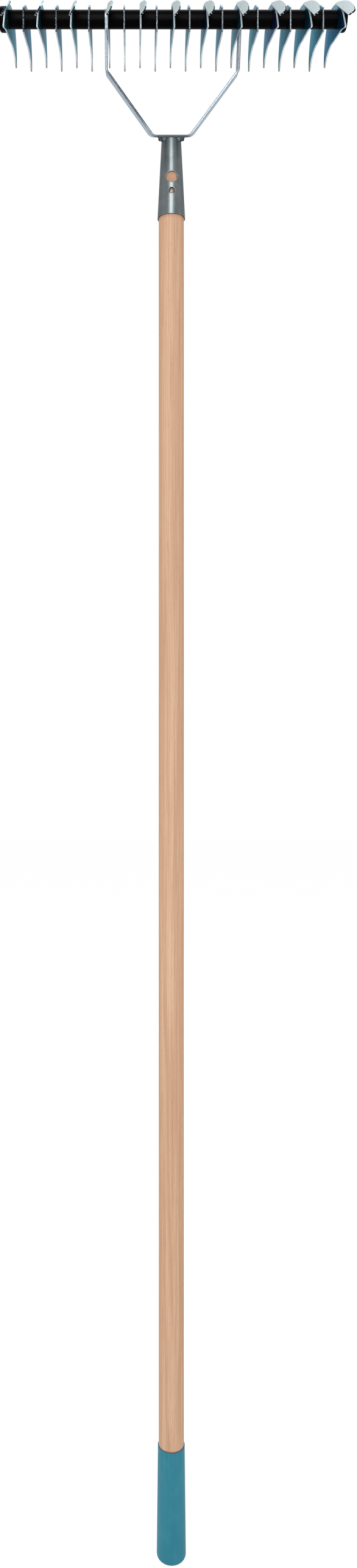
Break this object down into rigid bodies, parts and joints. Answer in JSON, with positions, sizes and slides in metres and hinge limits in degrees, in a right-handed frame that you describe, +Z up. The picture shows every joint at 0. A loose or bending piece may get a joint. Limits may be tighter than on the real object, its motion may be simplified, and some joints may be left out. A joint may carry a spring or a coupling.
{
  "type": "scarifying rake",
  "caption": "Long-handled scarifying rake: a row of half-moon steel blades with bent wings, spaced on a tie rod and carried by a bent strip fork.",
  "frame": {"origin": "centre of the grip's end face", "axes": "+Z up the handle to the head, +X along the row of blades with the grip down, +Y the way the claws point"},
  "size_m": [0.37, 0.1528, 1.7141],
  "materials": {
    "wood": "sanded, unvarnished",
    "grip_plastic": "smooth, slightly glossy",
    "socket_steel": "dark zinc plated",
    "fork_steel": "bright zinc plated",
    "weld_steel": "rough",
    "blade_steel": "bright zinc plated",
    "black_plastic": "satin",
    "fixing_steel": "zinc plated"
  },
  "bodies": {
    "frame": {"handle": "wood", "grip": "grip_plastic", "socket": "socket_steel", "fork": "fork_steel", "weld_bead": "weld_steel", "handle_screw": "fixing_steel"},
    "head": {"tie_rod": "fixing_steel", "wing_blade_01": "blade_steel", "wing_blade_02": "blade_steel", "wing_blade_03": "blade_steel", "wing_blade_04": "blade_steel", "wing_blade_05": "blade_steel", "wing_blade_06": "blade_steel", "wing_blade_07": "blade_steel", "wing_blade_08": "blade_steel", "wing_blade_09": "blade_steel", "wing_blade_10": "blade_steel", "wing_blade_11": "blade_steel", "claw_blade_01": "blade_steel", "claw_blade_02": "blade_steel", "claw_blade_03": "blade_steel", "claw_blade_04": "blade_steel", "claw_blade_05": "blade_steel", "claw_blade_06": "blade_steel", "claw_blade_07": "blade_steel", "claw_blade_08": "blade_steel", "claw_blade_09": "blade_steel", "claw_blade_10": "blade_steel", "spacer_01": "black_plastic", "spacer_02": "black_plastic", "spacer_03": "black_plastic", "spacer_04": "black_plastic", "spacer_05": "black_plastic", "spacer_06": "black_plastic", "spacer_07": "black_plastic", "spacer_08": "black_plastic", "spacer_09": "black_plastic", "spacer_10": "black_plastic", "spacer_11": "black_plastic", "spacer_12": "black_plastic", "spacer_13": "black_plastic", "spacer_14": "black_plastic", "spacer_15": "black_plastic", "spacer_16": "black_plastic", "spacer_17": "black_plastic", "spacer_18": "black_plastic", "spacer_19": "black_plastic", "spacer_20": "black_plastic", "pivot_bush_left": "fixing_steel", "pivot_bush_right": "fixing_steel", "washer_left": "fixing_steel", "washer_right": "fixing_steel", "end_nut_left": "fixing_steel", "end_nut_right": "fixing_steel", "end_cap_left": "black_plastic", "end_cap_right": "black_plastic"}
  },
  "joints": [
    {"name": "head_pivot", "type": "hinge", "parent": "frame", "child": "head", "pos_m": [0, -0.04935, 1.68038], "axis": [1, 0, 0], "range_deg": [-45, 60]}
  ]
}
